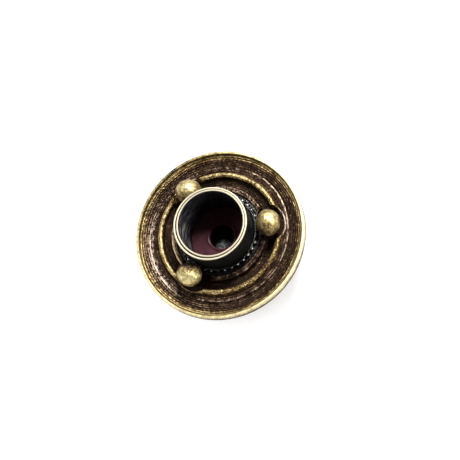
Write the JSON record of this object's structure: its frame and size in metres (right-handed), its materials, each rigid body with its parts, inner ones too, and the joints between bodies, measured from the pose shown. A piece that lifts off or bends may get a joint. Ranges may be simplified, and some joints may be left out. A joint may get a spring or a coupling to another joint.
{
  "type": "flanged sighting tube",
  "caption": "Round stepped brass flange with ball knobs in pockets and a short upright sighting tube, with a draw tube inside, a toothed foot ring and a dark red disc with a peep hole.",
  "frame": {"origin": "centre of the spigot's end face, on the tube's axis", "axes": "+Z along the tube from the spigot's end to the eye end, +Y is 3.5 degrees short of ball knob 1, whose bearing is 93.5 degrees from +X"},
  "size_m": [0.041, 0.041, 0.0224],
  "materials": {
    "dish_brass": "antique brown patina, polished on the high spots",
    "bright_brass": "worn bright",
    "plain_brass": "turned, lightly tarnished",
    "knob_brass": "satin, worn",
    "black_brass": "chemically blackened, worn bright at the mouth",
    "dark_brass": "dark patina",
    "red_fibre": "dark red vulcanised fibre",
    "lens_glass": "clear"
  },
  "bodies": {
    "flange": {"flange_dish": "dish_brass", "rim_hoop": "bright_brass", "threaded_spigot": "plain_brass", "ring_nut": "plain_brass", "ball_knob_1": "knob_brass", "ball_knob_2": "knob_brass", "ball_knob_3": "knob_brass", "stud_1": "plain_brass", "stud_2": "plain_brass", "stud_3": "plain_brass"},
    "sleeve": {"outer_sleeve": "black_brass", "milled_ring": "dark_brass"},
    "draw": {"draw_tube": "black_brass", "stop_ring": "plain_brass", "peep_disc": "red_fibre", "eye_lens": "lens_glass", "lens_ring": "black_brass"}
  },
  "joints": [
    {"name": "sleeve_turn", "type": "hinge", "parent": "flange", "child": "sleeve", "pos_m": [0, 0, 0.0141], "axis": [0, 0, 1], "continuous": true},
    {"name": "draw_slide", "type": "slide", "parent": "sleeve", "child": "draw", "axis": [0, 0, 1], "range_m": [0, 0.004]}
  ]
}
